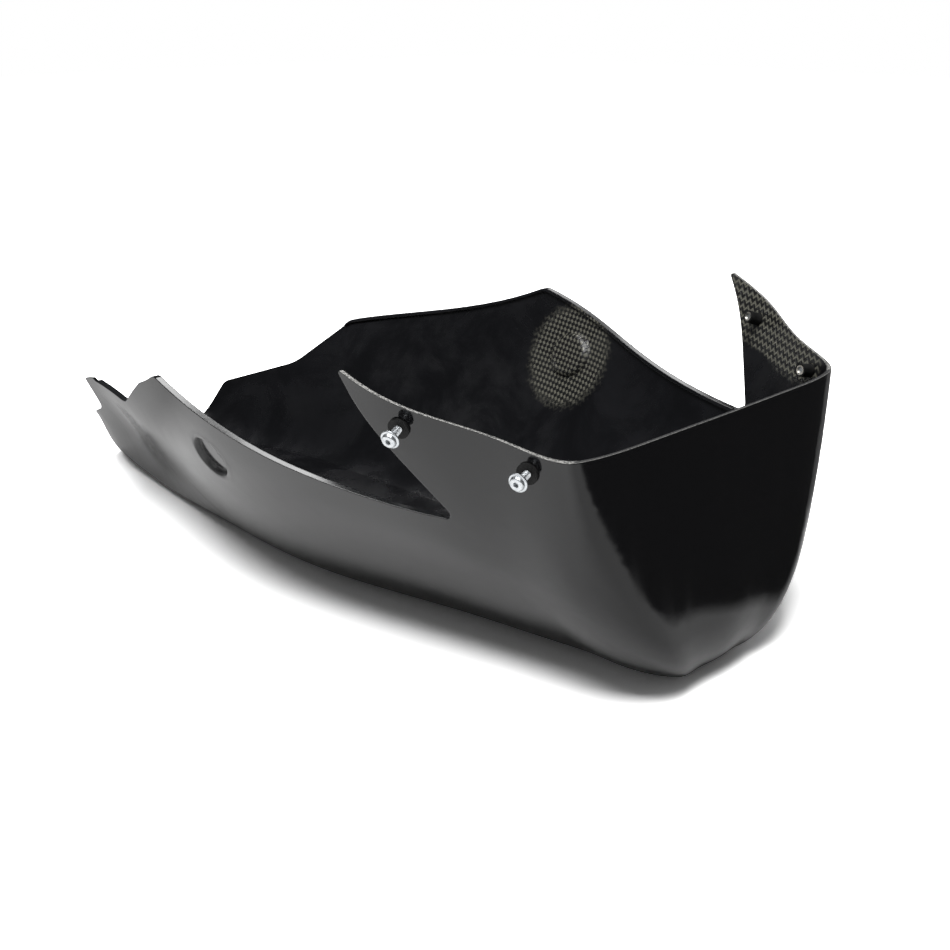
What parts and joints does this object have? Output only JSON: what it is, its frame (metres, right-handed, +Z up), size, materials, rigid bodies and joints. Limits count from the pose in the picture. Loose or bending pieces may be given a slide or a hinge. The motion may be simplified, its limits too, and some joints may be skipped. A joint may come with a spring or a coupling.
{
  "type": "motorcycle belly pan",
  "caption": "Boat-shaped moulded belly pan for a motorcycle, open at the top and stern, with notched front wings that carry screws in rubber well nuts.",
  "frame": {"origin": "centre of the bounding box in plan, on the flat keel that the pan rests on", "axes": "+X towards the front wheel, +Y to the rider's left, +Z up"},
  "size_m": [0.6899, 0.4102, 0.2205],
  "materials": {
    "shell": "black gelcoat over a resin laminate, satin inside with bare weave on the wings",
    "sleeve": "matt black",
    "insert": "turned",
    "screw": "bright zinc plated"
  },
  "bodies": {
    "root": {"belly_pan_shell": "shell", "well_nut_sleeves": "sleeve", "well_nut_inserts": "insert", "flange_screws": "screw"}
  },
  "joints": []
}
